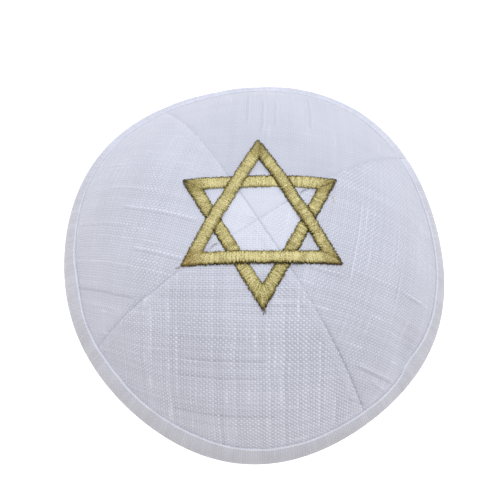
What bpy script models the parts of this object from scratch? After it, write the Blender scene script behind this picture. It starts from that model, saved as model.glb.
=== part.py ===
"""Four-panel cloth skullcap with a bound rim and an embroidered six-pointed star.

The cap rests on its rim. Its origin is on the surface that it rests on, in the middle of the rim.
+Z is up, +Y is where the star's upright point looks, and -Y is the front.

Every piece is first made on a plain round crown: a flat pattern, drawn as it looks from above, is laid
on the crown at its height above the cloth. Then settle() gives all pieces the same soft bulges, dents
and uneven outline, so that what lies on the cloth keeps lying on it.
"""

import math
from collections import namedtuple

import bmesh
import bpy
from mathutils import Matrix, Vector

MM = 0.001

# Driving sizes, in metres.
RIM_RADIUS = 85.0 * MM        # mean radius of the rim, outside the binding
CROWN_HEIGHT = 42.0 * MM      # the cloth at the crown above the surface that the cap rests on
PANEL_CLOTH = 1.5 * MM        # two layers of cloth with the stiffening between them
TAPE_CLOTH = 1.2 * MM         # folded strip of the binding
TAPE_WIDTH = 6.6 * MM         # the binding up the outside of the cloth
TAPE_PUFF = 0.35 * MM         # how far the binding swells between its folded edge and the rim
STAR_REACH = 35.0 * MM        # centre of the star to each of its six points
STAR_ASIDE = 1.0 * MM         # how far to the right of the crown the star's centre is stitched
STAR_COLUMN = 5.0 * MM        # width of a satin-stitched column
STAR_LOFT = 0.9 * MM          # thickness of a column along its middle
STAR_EDGE = 0.4 * MM          # thickness of a column at its edges
PIECE_GAP = 0.3 * MM          # clearance between neighbouring pieces
GORE_BULGE = 0.7 * MM         # how far a panel swells between its seams
SEAM_DIP = 0.5 * MM           # depth of the groove along a seam
SEAM_DIP_WIDTH = 0.8 * MM     # half the width of that groove
ALLOWANCE_RISE = 0.25 * MM    # how far a pressed seam allowance lifts the cloth above it
ALLOWANCE_WIDTH = 3.2 * MM    # width of the pressed seam allowance

# Form of the crown: the share of its height lost as radius squared, and the power of the rest.
CROWN_SOFT_FALL = 0.23
CROWN_POWER = 3.1

# Heights of the binding's faces above the outer face of the cloth, whose edge it holds in a slot.
TAPE_OUTSIDE = PIECE_GAP + TAPE_CLOTH
SLOT_OUTSIDE = PIECE_GAP
SLOT_INSIDE = -(PANEL_CLOTH + PIECE_GAP)
TAPE_INSIDE = SLOT_INSIDE - TAPE_CLOTH
CLOTH_RADIUS = RIM_RADIUS - TAPE_OUTSIDE

# How finely the pieces are divided.
PANEL_ROWS = 18
PANEL_ROWS_IN_SLOT = 2
PANEL_LANES = 20
TAPE_STEPS = 80
STAR_STEP = 2.3 * MM
STAR_LANES = 3

Seam = namedtuple("Seam", "azimuth left_panel allowance_on_left")
# Going round anticlockwise from above: where each seam lies, the panel on its far side, and whether
# the allowance is pressed under that panel or under the one before it.
SEAMS = (
    Seam(azimuth=33.5, left_panel="panel_back", allowance_on_left=True),
    Seam(azimuth=121.0, left_panel="panel_left", allowance_on_left=True),
    Seam(azimuth=212.0, left_panel="panel_front", allowance_on_left=True),
    Seam(azimuth=301.5, left_panel="panel_right", allowance_on_left=False),
)

Wave = namedtuple("Wave", "count azimuth swell")
# The rim is not quite round: waves around it, where each one swells, and how far as a share of the radius.
RIM_WAVES = (
    Wave(count=2, azimuth=91.5, swell=0.017),
    Wave(count=3, azimuth=41.0, swell=0.0135),
    Wave(count=4, azimuth=62.0, swell=0.0105),
    Wave(count=5, azimuth=56.0, swell=0.007),
    Wave(count=6, azimuth=26.5, swell=0.003),
)
RIM_WAVE_FADE = 3             # power of the radius with which the waves die out towards the crown

Dent = namedtuple("Dent", "azimuth radius length width turn depth")
# Soft dents of the cloth. Radius, length round the cap and width down the slope are shares of the
# cloth's radius, depth is a share of the crown's height, and turn tilts the dent, in degrees.
DENTS = (
    Dent(azimuth=188.0, radius=0.88, length=0.26, width=0.09, turn=0.0, depth=0.045),
    Dent(azimuth=222.0, radius=0.90, length=0.16, width=0.07, turn=0.0, depth=0.035),
    Dent(azimuth=323.0, radius=0.89, length=0.10, width=0.06, turn=-35.0, depth=0.045),
    Dent(azimuth=10.0, radius=0.88, length=0.20, width=0.07, turn=0.0, depth=0.025),
    Dent(azimuth=262.0, radius=0.66, length=0.30, width=0.10, turn=0.0, depth=0.012),
)
STILL_FOOT = 2.5 * MM         # up to this height no bulge or dent moves the cloth
STILL_EDGE = 5.0 * MM         # height above that over which they grow to their whole depth

TapePoint = namedtuple("TapePoint", "up height")
# Section of the binding, round from its outer folded edge: how far up the cloth's slope, as a share of
# the binding's width, and the height above the cloth.
TAPE_TURN_OUTSIDE = -0.07
TAPE_TURN_INSIDE = 0.49
SLOT_BOTTOM = 0.38
SLOT_MIDDLE = 0.5 * (1.0 + SLOT_BOTTOM)
TAPE_DOWN_OUTSIDE = (
    TapePoint(up=1.00, height=SLOT_OUTSIDE),
    TapePoint(up=1.03, height=SLOT_OUTSIDE + 0.5 * TAPE_CLOTH),
    TapePoint(up=0.98, height=TAPE_OUTSIDE),
    TapePoint(up=0.70, height=TAPE_OUTSIDE + TAPE_PUFF),
    TapePoint(up=0.35, height=TAPE_OUTSIDE + TAPE_PUFF),
    TapePoint(up=TAPE_TURN_OUTSIDE, height=TAPE_OUTSIDE),
)
TAPE_UP_INSIDE = (
    TapePoint(up=TAPE_TURN_INSIDE, height=TAPE_INSIDE),
    TapePoint(up=0.92, height=TAPE_INSIDE),
    TapePoint(up=0.97, height=SLOT_INSIDE - 0.5 * TAPE_CLOTH),
    TapePoint(up=0.94, height=SLOT_INSIDE),
    TapePoint(up=SLOT_MIDDLE, height=SLOT_INSIDE),
    TapePoint(up=SLOT_BOTTOM, height=SLOT_INSIDE),
    TapePoint(up=SLOT_BOTTOM, height=SLOT_OUTSIDE),
    TapePoint(up=SLOT_MIDDLE, height=SLOT_OUTSIDE),
)
# The flat foot under the fold, about the cloth's edge: shares of the outer and the inner face's height.
FOOT_OUTER_SHARE = 0.65
FOOT_INNER_SHARE = 0.87

# Embroidery: the half of the star that is stitched last climbs over the other at six crossings.
CROSSING_PRESS = 0.6          # a column that is crossed keeps this share of its thickness
CROSSING_RAMP = 4.0 * MM      # length over which the upper column climbs
CROSSING_LEVEL = 0.3          # share of that length that stays at full height beside the crossing
STAR_SEAT = PIECE_GAP + ALLOWANCE_RISE


def smooth_step(value):
    """Ease from 0 to 1 as the value goes from 0 to 1."""
    share = min(1.0, max(0.0, value))
    return share * share * (3.0 - 2.0 * share)


def cloth_height(radius):
    """Height of the plain round cloth at a plan radius."""
    share = radius / CLOTH_RADIUS
    fall = CROWN_SOFT_FALL * share ** 2 + (1.0 - CROWN_SOFT_FALL) * share ** CROWN_POWER
    return CROWN_HEIGHT * (1.0 - fall)


def cloth_slope(radius):
    """Rise of that cloth for each metre outwards, which is below zero."""
    share = radius / CLOTH_RADIUS
    fall = 2.0 * CROWN_SOFT_FALL * share
    fall += CROWN_POWER * (1.0 - CROWN_SOFT_FALL) * share ** (CROWN_POWER - 1.0)
    return -CROWN_HEIGHT * fall / CLOTH_RADIUS


def radius_up_slope(distance):
    """Plan radius of the cloth that lies a distance up the slope from the cloth's edge."""
    steps = 20
    radius = CLOTH_RADIUS
    for _ in range(steps):
        radius -= distance / steps / math.hypot(1.0, cloth_slope(radius))
    return radius


def above_cloth(radius, height):
    """Radius and height in space of a point that stands a height off the cloth at a plan radius."""
    slope = cloth_slope(radius)
    length = math.hypot(1.0, slope)
    return radius - height * slope / length, cloth_height(radius) + height / length


def cloth_beside(radius, height):
    """Plan radius of the cloth that lies square to a point in space."""
    beside = radius
    for _ in range(5):
        slope = cloth_slope(beside)
        miss = beside - radius - slope * (height - cloth_height(beside))
        beside -= miss / (1.0 + slope * slope)
    return beside


def rim_swell(azimuth):
    """Share by which the rim stands out of round at an azimuth in radians."""
    swell = 0.0
    for wave in RIM_WAVES:
        swell += wave.swell * math.cos(wave.count * (azimuth - math.radians(wave.azimuth)))
    return swell


def gore_share(azimuth):
    """Share of the way across its panel at which an azimuth in radians lies."""
    turn = math.degrees(azimuth) % 360.0
    for seam, following in zip(SEAMS, SEAMS[1:] + SEAMS[:1]):
        span = (following.azimuth - seam.azimuth) % 360.0
        along = (turn - seam.azimuth) % 360.0
        if along <= span:
            return along / span
    return 0.0


def dent_depth(dent, azimuth, radius):
    """Depth of a dent at a place on the cloth."""
    heading = azimuth - math.radians(dent.azimuth)
    heading = (heading + math.pi) % (2.0 * math.pi) - math.pi
    around = dent.radius * heading
    down = radius / CLOTH_RADIUS - dent.radius
    turn = math.radians(dent.turn)
    along = around * math.cos(turn) + down * math.sin(turn)
    across = down * math.cos(turn) - around * math.sin(turn)
    return dent.depth * CROWN_HEIGHT * math.exp(-(along / dent.length) ** 2 - (across / dent.width) ** 2)


def soft_relief(azimuth, radius):
    """Height that bulges between the seams add to the cloth, less its dents."""
    share = min(1.0, radius / CLOTH_RADIUS)
    relief = GORE_BULGE * math.sin(math.pi * gore_share(azimuth)) * 4.0 * share * (1.0 - share)
    for dent in DENTS:
        relief -= dent_depth(dent, azimuth, radius)
    return relief


def settle(place):
    """Move a point of the plain round cap to its place on the real, slightly uneven one."""
    radius = math.hypot(place.x, place.y)
    azimuth = math.atan2(place.y, place.x)
    beside = cloth_beside(radius, place.z)
    slope = cloth_slope(beside)
    length = math.hypot(1.0, slope)
    relief = soft_relief(azimuth, beside) * smooth_step((cloth_height(beside) - STILL_FOOT) / STILL_EDGE)
    swell = rim_swell(azimuth) * min(1.0, beside / CLOTH_RADIUS) ** RIM_WAVE_FADE
    out = (radius - relief * slope / length) * (1.0 + swell)
    return Vector((out * math.cos(azimuth), out * math.sin(azimuth), place.z + relief / length))


def lay_on_crown(mesh):
    """Lay a flat pattern on the cap: its z is the height above the cloth."""
    for vert in mesh.verts:
        radius = math.hypot(vert.co.x, vert.co.y)
        azimuth = math.atan2(vert.co.y, vert.co.x)
        out, up = above_cloth(radius, vert.co.z)
        vert.co = settle(Vector((out * math.cos(azimuth), out * math.sin(azimuth), up)))


def rim_centre():
    """Middle of the uneven rim's box, from above."""
    steps = 720
    places = []
    for step in range(steps):
        azimuth = 2.0 * math.pi * step / steps
        reach = RIM_RADIUS * (1.0 + rim_swell(azimuth))
        places.append((reach * math.cos(azimuth), reach * math.sin(azimuth)))
    across, along = zip(*places)
    return Vector(((max(across) + min(across)) / 2.0, (max(along) + min(along)) / 2.0, 0.0))


def finish(name, mesh, material, carrier, collection):
    """Make a closed mesh one named object of the cap, smooth but for its folds and edges."""
    bmesh.ops.recalc_face_normals(mesh, faces=mesh.faces[:])
    data = bpy.data.meshes.new(name)
    mesh.to_mesh(data)
    mesh.free()
    data.materials.append(material)
    data.shade_smooth()
    data.set_sharp_from_angle(angle=math.radians(40.0))
    piece = bpy.data.objects.new(name, data)
    piece.parent = carrier
    collection.objects.link(piece)
    return piece


def plain_material(name, colour, roughness):
    """Principled material of one colour."""
    material = bpy.data.materials.new(name)
    material.use_nodes = True
    shader = material.node_tree.nodes["Principled BSDF"]
    shader.inputs["Base Color"].default_value = (*colour, 1.0)
    shader.inputs["Roughness"].default_value = roughness
    shader.inputs["Metallic"].default_value = 0.0
    return material


def seam_relief(distance, has_allowance):
    """Height of the cloth at a distance from a seam: the groove, and beside it any pressed allowance."""
    relief = -SEAM_DIP * math.exp(-(distance / SEAM_DIP_WIDTH) ** 2)
    if has_allowance:
        rise = smooth_step(distance / (2.0 * SEAM_DIP_WIDTH))
        rise *= 1.0 - smooth_step((distance - ALLOWANCE_WIDTH) / SEAM_DIP_WIDTH)
        relief += ALLOWANCE_RISE * rise
    return relief


def lane_angle(lane, radius, span):
    """Angle from a panel's first seam to a lane of its pattern. The lanes by the seams keep their
    distance to them, and share the panel evenly where it is too narrow for that."""
    hugging = (0.0, SEAM_DIP_WIDTH, 2.0 * SEAM_DIP_WIDTH, ALLOWANCE_WIDTH, ALLOWANCE_WIDTH + SEAM_DIP_WIDTH)
    even = span / PANEL_LANES
    last = len(hugging) - 1
    near = min(lane, PANEL_LANES - lane)
    hugged = min(near, last)
    angle = min(even * hugged, math.asin(min(1.0, hugging[hugged] / radius)))
    if near > last:
        angle += (span / 2.0 - angle) * (near - last) / (PANEL_LANES / 2 - last)
    return angle if lane == near else span - angle


def row_radius(row):
    """Plan radius of a row of a panel's pattern: even rows up to the binding, then those in its slot."""
    tape_edge = radius_up_slope(TAPE_WIDTH)
    panel_edge = radius_up_slope(SLOT_BOTTOM * TAPE_WIDTH + PIECE_GAP)
    open_rows = PANEL_ROWS - PANEL_ROWS_IN_SLOT
    if row <= open_rows:
        return tape_edge * row / open_rows
    return tape_edge + (panel_edge - tape_edge) * (row - open_rows) / PANEL_ROWS_IN_SLOT


def distance_left(seam, x, y):
    """Distance of a place from a seam's line, above zero on the seam's left."""
    azimuth = math.radians(seam.azimuth)
    return y * math.cos(azimuth) - x * math.sin(azimuth)


def sew_panel(first, second, material, carrier, collection):
    """Panel between two seams: a pattern drawn flat from a grid, with the thickness of the cloth."""
    start = math.radians(first.azimuth)
    span = math.radians((second.azimuth - first.azimuth) % 360.0)
    middle = start + span / 2.0
    corner = PIECE_GAP / 2.0 / math.sin(span / 2.0)
    tape_radius = radius_up_slope(TAPE_WIDTH + PIECE_GAP)
    mesh = bmesh.new()
    bmesh.ops.create_grid(mesh, x_segments=PANEL_ROWS, y_segments=PANEL_LANES, size=0.5)
    for vert in mesh.verts:
        row = round((vert.co.x + 0.5) * PANEL_ROWS)
        lane = round((vert.co.y + 0.5) * PANEL_LANES)
        reach = row_radius(row)
        azimuth = start + (lane_angle(lane, reach, span) if row > 0 else 0.0)
        if row > 0:
            reach -= corner * math.cos(azimuth - middle)
        x = corner * math.cos(middle) + reach * math.cos(azimuth)
        y = corner * math.sin(middle) + reach * math.sin(azimuth)
        near_first = distance_left(first, x, y)
        near_second = -distance_left(second, x, y)
        if near_first < near_second:
            relief = seam_relief(near_first, first.allowance_on_left)
        else:
            relief = seam_relief(near_second, not second.allowance_on_left)
        under_tape = smooth_step(1.0 - (tape_radius - math.hypot(x, y)) / ALLOWANCE_WIDTH)
        vert.co = (x, y, relief * (1.0 - under_tape))
    bmesh.ops.remove_doubles(mesh, verts=mesh.verts[:], dist=0.01 * MM)
    under = bmesh.ops.extrude_face_region(mesh, geom=mesh.faces[:])
    for vert in under["geom"]:
        if isinstance(vert, bmesh.types.BMVert):
            vert.co.z = -PANEL_CLOTH
    lay_on_crown(mesh)
    return finish(first.left_panel, mesh, material, carrier, collection)


def bind_rim(material, carrier, collection):
    """Strip folded round the panels' edge: its section, spun round the cap."""
    foot_outer = CLOTH_RADIUS + FOOT_OUTER_SHARE * TAPE_OUTSIDE
    foot_inner = CLOTH_RADIUS + FOOT_INNER_SHARE * TAPE_INSIDE
    section = [above_cloth(radius_up_slope(point.up * TAPE_WIDTH), point.height)
               for point in TAPE_DOWN_OUTSIDE]
    section += [(foot_outer, 0.0), (foot_inner, 0.0)]
    section += [above_cloth(radius_up_slope(point.up * TAPE_WIDTH), point.height)
                for point in TAPE_UP_INSIDE]
    mesh = bmesh.new()
    verts = [mesh.verts.new((radius, 0.0, height)) for radius, height in section]
    edges = [mesh.edges.new(pair) for pair in zip(verts, verts[1:] + verts[:1])]
    bmesh.ops.spin(mesh, geom=verts + edges, axis=(0.0, 0.0, 1.0), cent=(0.0, 0.0, 0.0),
                   angle=2.0 * math.pi, steps=TAPE_STEPS, use_merge=True)
    for vert in mesh.verts:
        vert.co = settle(vert.co)
    return finish("rim_binding", mesh, material, carrier, collection)


def column_depth(x, y, point_azimuth):
    """How far inside the outer sides of a triangle of the star a place lies."""
    outermost = max(x * math.cos(point_azimuth + turn) + y * math.sin(point_azimuth + turn)
                    for turn in (math.pi / 3.0, math.pi, -math.pi / 3.0))
    return STAR_REACH / 2.0 - outermost


def crossing_share(x, y, other_azimuth):
    """1 where the other triangle's columns pass, easing to 0 beside them."""
    depth = column_depth(x, y, other_azimuth)
    beside = max(-depth, depth - STAR_COLUMN, 0.0)
    return 1.0 - smooth_step((beside / CROSSING_RAMP - CROSSING_LEVEL) / (1.0 - CROSSING_LEVEL))


def embroider_triangle(name, point_azimuth, on_top, material, carrier, collection):
    """One triangle of the star: a flat frame with mitred corners, padded like satin stitch. The one on
    top climbs over the other's columns, and those are pressed flatter there."""
    other_azimuth = point_azimuth + math.pi
    climb = CROSSING_PRESS * STAR_LOFT + PIECE_GAP
    mesh = bmesh.new()
    bmesh.ops.create_circle(mesh, cap_ends=True, radius=STAR_REACH, segments=3)
    bmesh.ops.rotate(mesh, verts=mesh.verts[:], cent=(0.0, 0.0, 0.0),
                     matrix=Matrix.Rotation(point_azimuth - math.pi / 2.0, 3, "Z"))
    bmesh.ops.inset_region(mesh, faces=mesh.faces[:], thickness=STAR_COLUMN, use_boundary=True,
                           use_even_offset=True)
    hole = [face for face in mesh.faces if len(face.verts) == 3]
    bmesh.ops.delete(mesh, geom=hole, context="FACES")
    sides = [edge for edge in mesh.edges if edge.is_boundary]
    cuts = round(math.sqrt(3.0) * STAR_REACH / STAR_STEP) - 1
    bmesh.ops.subdivide_edges(mesh, edges=sides, cuts=cuts, use_grid_fill=True)
    across = [edge for edge in mesh.edges if not edge.is_boundary]
    bmesh.ops.subdivide_edges(mesh, edges=across, cuts=STAR_LANES - 1, use_grid_fill=True)
    top = bmesh.ops.extrude_face_region(mesh, geom=mesh.faces[:])
    raised = [item for item in top["geom"] if isinstance(item, bmesh.types.BMVert)]
    for vert in mesh.verts:
        x, y = vert.co.xy
        vert.co.z = STAR_SEAT + (climb * crossing_share(x, y, other_azimuth) if on_top else 0.0)
    for vert in raised:
        x, y = vert.co.xy
        share = column_depth(x, y, point_azimuth) / STAR_COLUMN
        loft = STAR_EDGE + (STAR_LOFT - STAR_EDGE) * 4.0 * share * (1.0 - share)
        if not on_top:
            loft *= 1.0 - (1.0 - CROSSING_PRESS) * crossing_share(x, y, other_azimuth)
        vert.co.z += loft
    bmesh.ops.translate(mesh, verts=mesh.verts[:], vec=(STAR_ASIDE, 0.0, 0.0))
    lay_on_crown(mesh)
    return finish(name, mesh, material, carrier, collection)


def make_cap():
    """Sew, bind and embroider the whole cap on an empty that centres its rim on the origin."""
    for old in list(bpy.data.objects):
        bpy.data.objects.remove(old, do_unlink=True)
    collection = bpy.data.collections.new("kippah_skullcap")
    bpy.context.scene.collection.children.link(collection)
    carrier = bpy.data.objects.new("cap", None)
    carrier.location = -rim_centre()
    collection.objects.link(carrier)

    panel_cloth = plain_material("panel_cloth", (0.74, 0.75, 0.80), 0.85)
    tape_cloth = plain_material("binding_tape", (0.68, 0.69, 0.74), 0.88)
    gold_thread = plain_material("gold_thread", (0.52, 0.40, 0.09), 0.45)

    for first, second in zip(SEAMS, SEAMS[1:] + SEAMS[:1]):
        sew_panel(first, second, panel_cloth, carrier, collection)
    bind_rim(tape_cloth, carrier, collection)
    up, down = math.pi / 2.0, -math.pi / 2.0
    embroider_triangle("star_inverted", down, False, gold_thread, carrier, collection)
    embroider_triangle("star_upright", up, True, gold_thread, carrier, collection)


make_cap()
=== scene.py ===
import math
import random
from collections import namedtuple

import bmesh
import bpy
from mathutils import Matrix, Vector, noise


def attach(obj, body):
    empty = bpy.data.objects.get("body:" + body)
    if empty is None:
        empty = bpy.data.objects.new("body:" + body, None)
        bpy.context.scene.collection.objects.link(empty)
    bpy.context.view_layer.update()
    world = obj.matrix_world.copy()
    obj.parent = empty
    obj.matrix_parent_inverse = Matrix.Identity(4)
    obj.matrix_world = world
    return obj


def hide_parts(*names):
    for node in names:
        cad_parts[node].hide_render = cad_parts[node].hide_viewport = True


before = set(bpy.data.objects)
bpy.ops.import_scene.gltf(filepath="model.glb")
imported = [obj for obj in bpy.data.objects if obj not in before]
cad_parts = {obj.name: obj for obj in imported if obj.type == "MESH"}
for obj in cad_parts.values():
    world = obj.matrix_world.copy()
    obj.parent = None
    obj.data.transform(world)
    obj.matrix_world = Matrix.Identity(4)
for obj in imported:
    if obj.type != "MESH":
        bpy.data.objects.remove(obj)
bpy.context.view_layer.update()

MM = 0.001


# The four panels are gores of white slubbed cloth, sewn edge to edge so that their seams cross at the
# crown. The cloth rolls down into each seam, and the allowance pressed under one side lifts it there.
# Every panel is drawn flat, as its pattern, and then laid on the cap, which is a little out of round.

RIM_RADIUS = 85.0 * MM          # mean radius of the rim, outside the binding
CROWN_HEIGHT = 42.0 * MM
PANEL_CLOTH = 1.5 * MM          # two layers with the stiffening between them
TAPE_CLOTH = 1.2 * MM
TAPE_WIDTH = 6.6 * MM
PIECE_GAP = 0.3 * MM
SEAM_GAP = 0.03 * MM
TAPE_OUTSIDE = PIECE_GAP + TAPE_CLOTH
CLOTH_RADIUS = RIM_RADIUS - TAPE_OUTSIDE
CROWN_SOFT_FALL = 0.23
CROWN_POWER = 3.1
SLOT_BOTTOM = 0.38              # share of the binding's width at which the panels' edge ends in it

Seam = namedtuple("Seam", "azimuth left_panel grain allowance_on_left openness line line_outside broken")
SEAMS = (
    Seam(azimuth=33.5, left_panel="panel_back", grain=-7.5, allowance_on_left=True,
         openness=0.12, line=0.60, line_outside=0.05, broken=True),
    Seam(azimuth=121.0, left_panel="panel_left", grain=5.5, allowance_on_left=True,
         openness=0.15, line=0.70, line_outside=-0.18, broken=False),
    Seam(azimuth=212.0, left_panel="panel_front", grain=-11.0, allowance_on_left=True,
         openness=0.38, line=0.45, line_outside=0.42, broken=True),
    Seam(azimuth=301.5, left_panel="panel_right", grain=1.0, allowance_on_left=False,
         openness=0.60, line=0.75, line_outside=0.50, broken=False),
)

Wave = namedtuple("Wave", "count azimuth swell")
RIM_WAVES = (
    Wave(2, 91.5, 0.017),
    Wave(3, 41.0, 0.0135),
    Wave(4, 62.0, 0.0105),
    Wave(5, 56.0, 0.007),
    Wave(6, 26.5, 0.003),
)
RIM_WAVE_FADE = 3

Dent = namedtuple("Dent", "azimuth radius length width turn depth")
DENTS = (
    Dent(188.0, 0.88, 0.26, 0.09, 0.0, 0.045),
    Dent(222.0, 0.90, 0.16, 0.07, 0.0, 0.035),
    Dent(323.0, 0.89, 0.10, 0.06, -35.0, 0.045),
    Dent(10.0, 0.88, 0.20, 0.07, 0.0, 0.025),
    Dent(262.0, 0.66, 0.30, 0.10, 0.0, 0.012),
)
GORE_BULGE = 0.7 * MM
STILL_FOOT = 2.5 * MM
STILL_EDGE = 5.0 * MM


def smooth_step(value):
    """Ease from 0 to 1 as the value goes from 0 to 1."""
    share = min(1.0, max(0.0, value))
    return share * share * (3.0 - 2.0 * share)


def bell(share):
    """1 at 0, falling to either side."""
    return math.exp(-share ** 2)


def round_place(radius, azimuth, height):
    """Point at a plan radius, an azimuth in radians and a height."""
    return Vector((radius * math.cos(azimuth), radius * math.sin(azimuth), height))


def cloth_height(radius):
    """Height of the plain round cloth at a plan radius."""
    share = radius / CLOTH_RADIUS
    fall = CROWN_SOFT_FALL * share ** 2 + (1.0 - CROWN_SOFT_FALL) * share ** CROWN_POWER
    return CROWN_HEIGHT * (1.0 - fall)


def cloth_slope(radius):
    """Rise of that cloth for each metre outwards, which is below zero."""
    share = radius / CLOTH_RADIUS
    fall = 2.0 * CROWN_SOFT_FALL * share
    fall += CROWN_POWER * (1.0 - CROWN_SOFT_FALL) * share ** (CROWN_POWER - 1.0)
    return -CROWN_HEIGHT * fall / CLOTH_RADIUS


def radius_up_slope(distance):
    """Plan radius of the cloth that lies a distance up the slope from the cloth's edge."""
    steps = 20
    radius = CLOTH_RADIUS
    for _ in range(steps):
        radius -= distance / steps / math.hypot(1.0, cloth_slope(radius))
    return radius


def above_cloth(radius, height):
    """Radius and height in space of a point that stands a height off the cloth at a plan radius."""
    slope = cloth_slope(radius)
    length = math.hypot(1.0, slope)
    return radius - height * slope / length, cloth_height(radius) + height / length


def cloth_beside(radius, height):
    """Plan radius of the cloth that lies square to a point in space."""
    beside = radius
    for _ in range(5):
        slope = cloth_slope(beside)
        miss = beside - radius - slope * (height - cloth_height(beside))
        beside -= miss / (1.0 + slope * slope)
    return beside


def rim_swell(azimuth):
    """Share by which the rim stands out of round at an azimuth in radians."""
    swell = 0.0
    for wave in RIM_WAVES:
        swell += wave.swell * math.cos(wave.count * (azimuth - math.radians(wave.azimuth)))
    return swell


def rows_around(azimuth, rows):
    """The two rows that an azimuth in radians lies between, and its share of the way between them."""
    turn = math.degrees(azimuth) % 360.0
    for low, high in zip(rows, rows[1:] + rows[:1]):
        span = (high.azimuth - low.azimuth) % 360.0
        along = (turn - low.azimuth) % 360.0
        if along <= span:
            return low, high, along / span
    return rows[-1], rows[0], 0.0


def dent_depth(dent, azimuth, radius):
    """Depth of a dent at a place on the cloth."""
    heading = azimuth - math.radians(dent.azimuth)
    heading = (heading + math.pi) % (2.0 * math.pi) - math.pi
    around = dent.radius * heading
    down = radius / CLOTH_RADIUS - dent.radius
    turn = math.radians(dent.turn)
    along = around * math.cos(turn) + down * math.sin(turn)
    across = down * math.cos(turn) - around * math.sin(turn)
    return dent.depth * CROWN_HEIGHT * math.exp(-(along / dent.length) ** 2 - (across / dent.width) ** 2)


def soft_relief(azimuth, radius):
    """Height that bulges between the seams add to the cloth, less its dents."""
    across = rows_around(azimuth, SEAMS)[2]
    share = min(1.0, radius / CLOTH_RADIUS)
    relief = GORE_BULGE * math.sin(math.pi * across) * 4.0 * share * (1.0 - share)
    for dent in DENTS:
        relief -= dent_depth(dent, azimuth, radius)
    return relief


def rim_centre():
    """Middle of the uneven rim's box, from above."""
    places = []
    for step in range(720):
        azimuth = 2.0 * math.pi * step / 720
        reach = RIM_RADIUS * (1.0 + rim_swell(azimuth))
        places.append((reach * math.cos(azimuth), reach * math.sin(azimuth)))
    across, along = zip(*places)
    return Vector(((max(across) + min(across)) / 2.0, (max(along) + min(along)) / 2.0, 0.0))


CROWN_PLACE = -rim_centre()


def settle(place):
    """Move a point of the plain round cap to its place on the real, slightly uneven one."""
    radius = math.hypot(place.x, place.y)
    azimuth = math.atan2(place.y, place.x)
    beside = cloth_beside(radius, place.z)
    slope = cloth_slope(beside)
    length = math.hypot(1.0, slope)
    relief = soft_relief(azimuth, beside) * smooth_step((cloth_height(beside) - STILL_FOOT) / STILL_EDGE)
    swell = rim_swell(azimuth) * min(1.0, beside / CLOTH_RADIUS) ** RIM_WAVE_FADE
    out = (radius - relief * slope / length) * (1.0 + swell)
    return round_place(out, azimuth, place.z + relief / length) + CROWN_PLACE


def lay_on_crown(mesh):
    """Lay a flat pattern on the cap: its z is the height above the cloth."""
    for vert in mesh.verts:
        radius = math.hypot(vert.co.x, vert.co.y)
        azimuth = math.atan2(vert.co.y, vert.co.x)
        out, up = above_cloth(radius, vert.co.z)
        vert.co = settle(round_place(out, azimuth, up))


def finish_piece(name, mesh, material, sharp=35.0):
    """Make a closed mesh one smooth-shaded object."""
    data = bpy.data.meshes.new(name)
    mesh.to_mesh(data)
    mesh.free()
    data.materials.append(material)
    data.shade_smooth()
    data.set_sharp_from_angle(angle=math.radians(sharp))
    piece = bpy.data.objects.new(name, data)
    bpy.context.scene.collection.objects.link(piece)
    return piece


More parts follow.
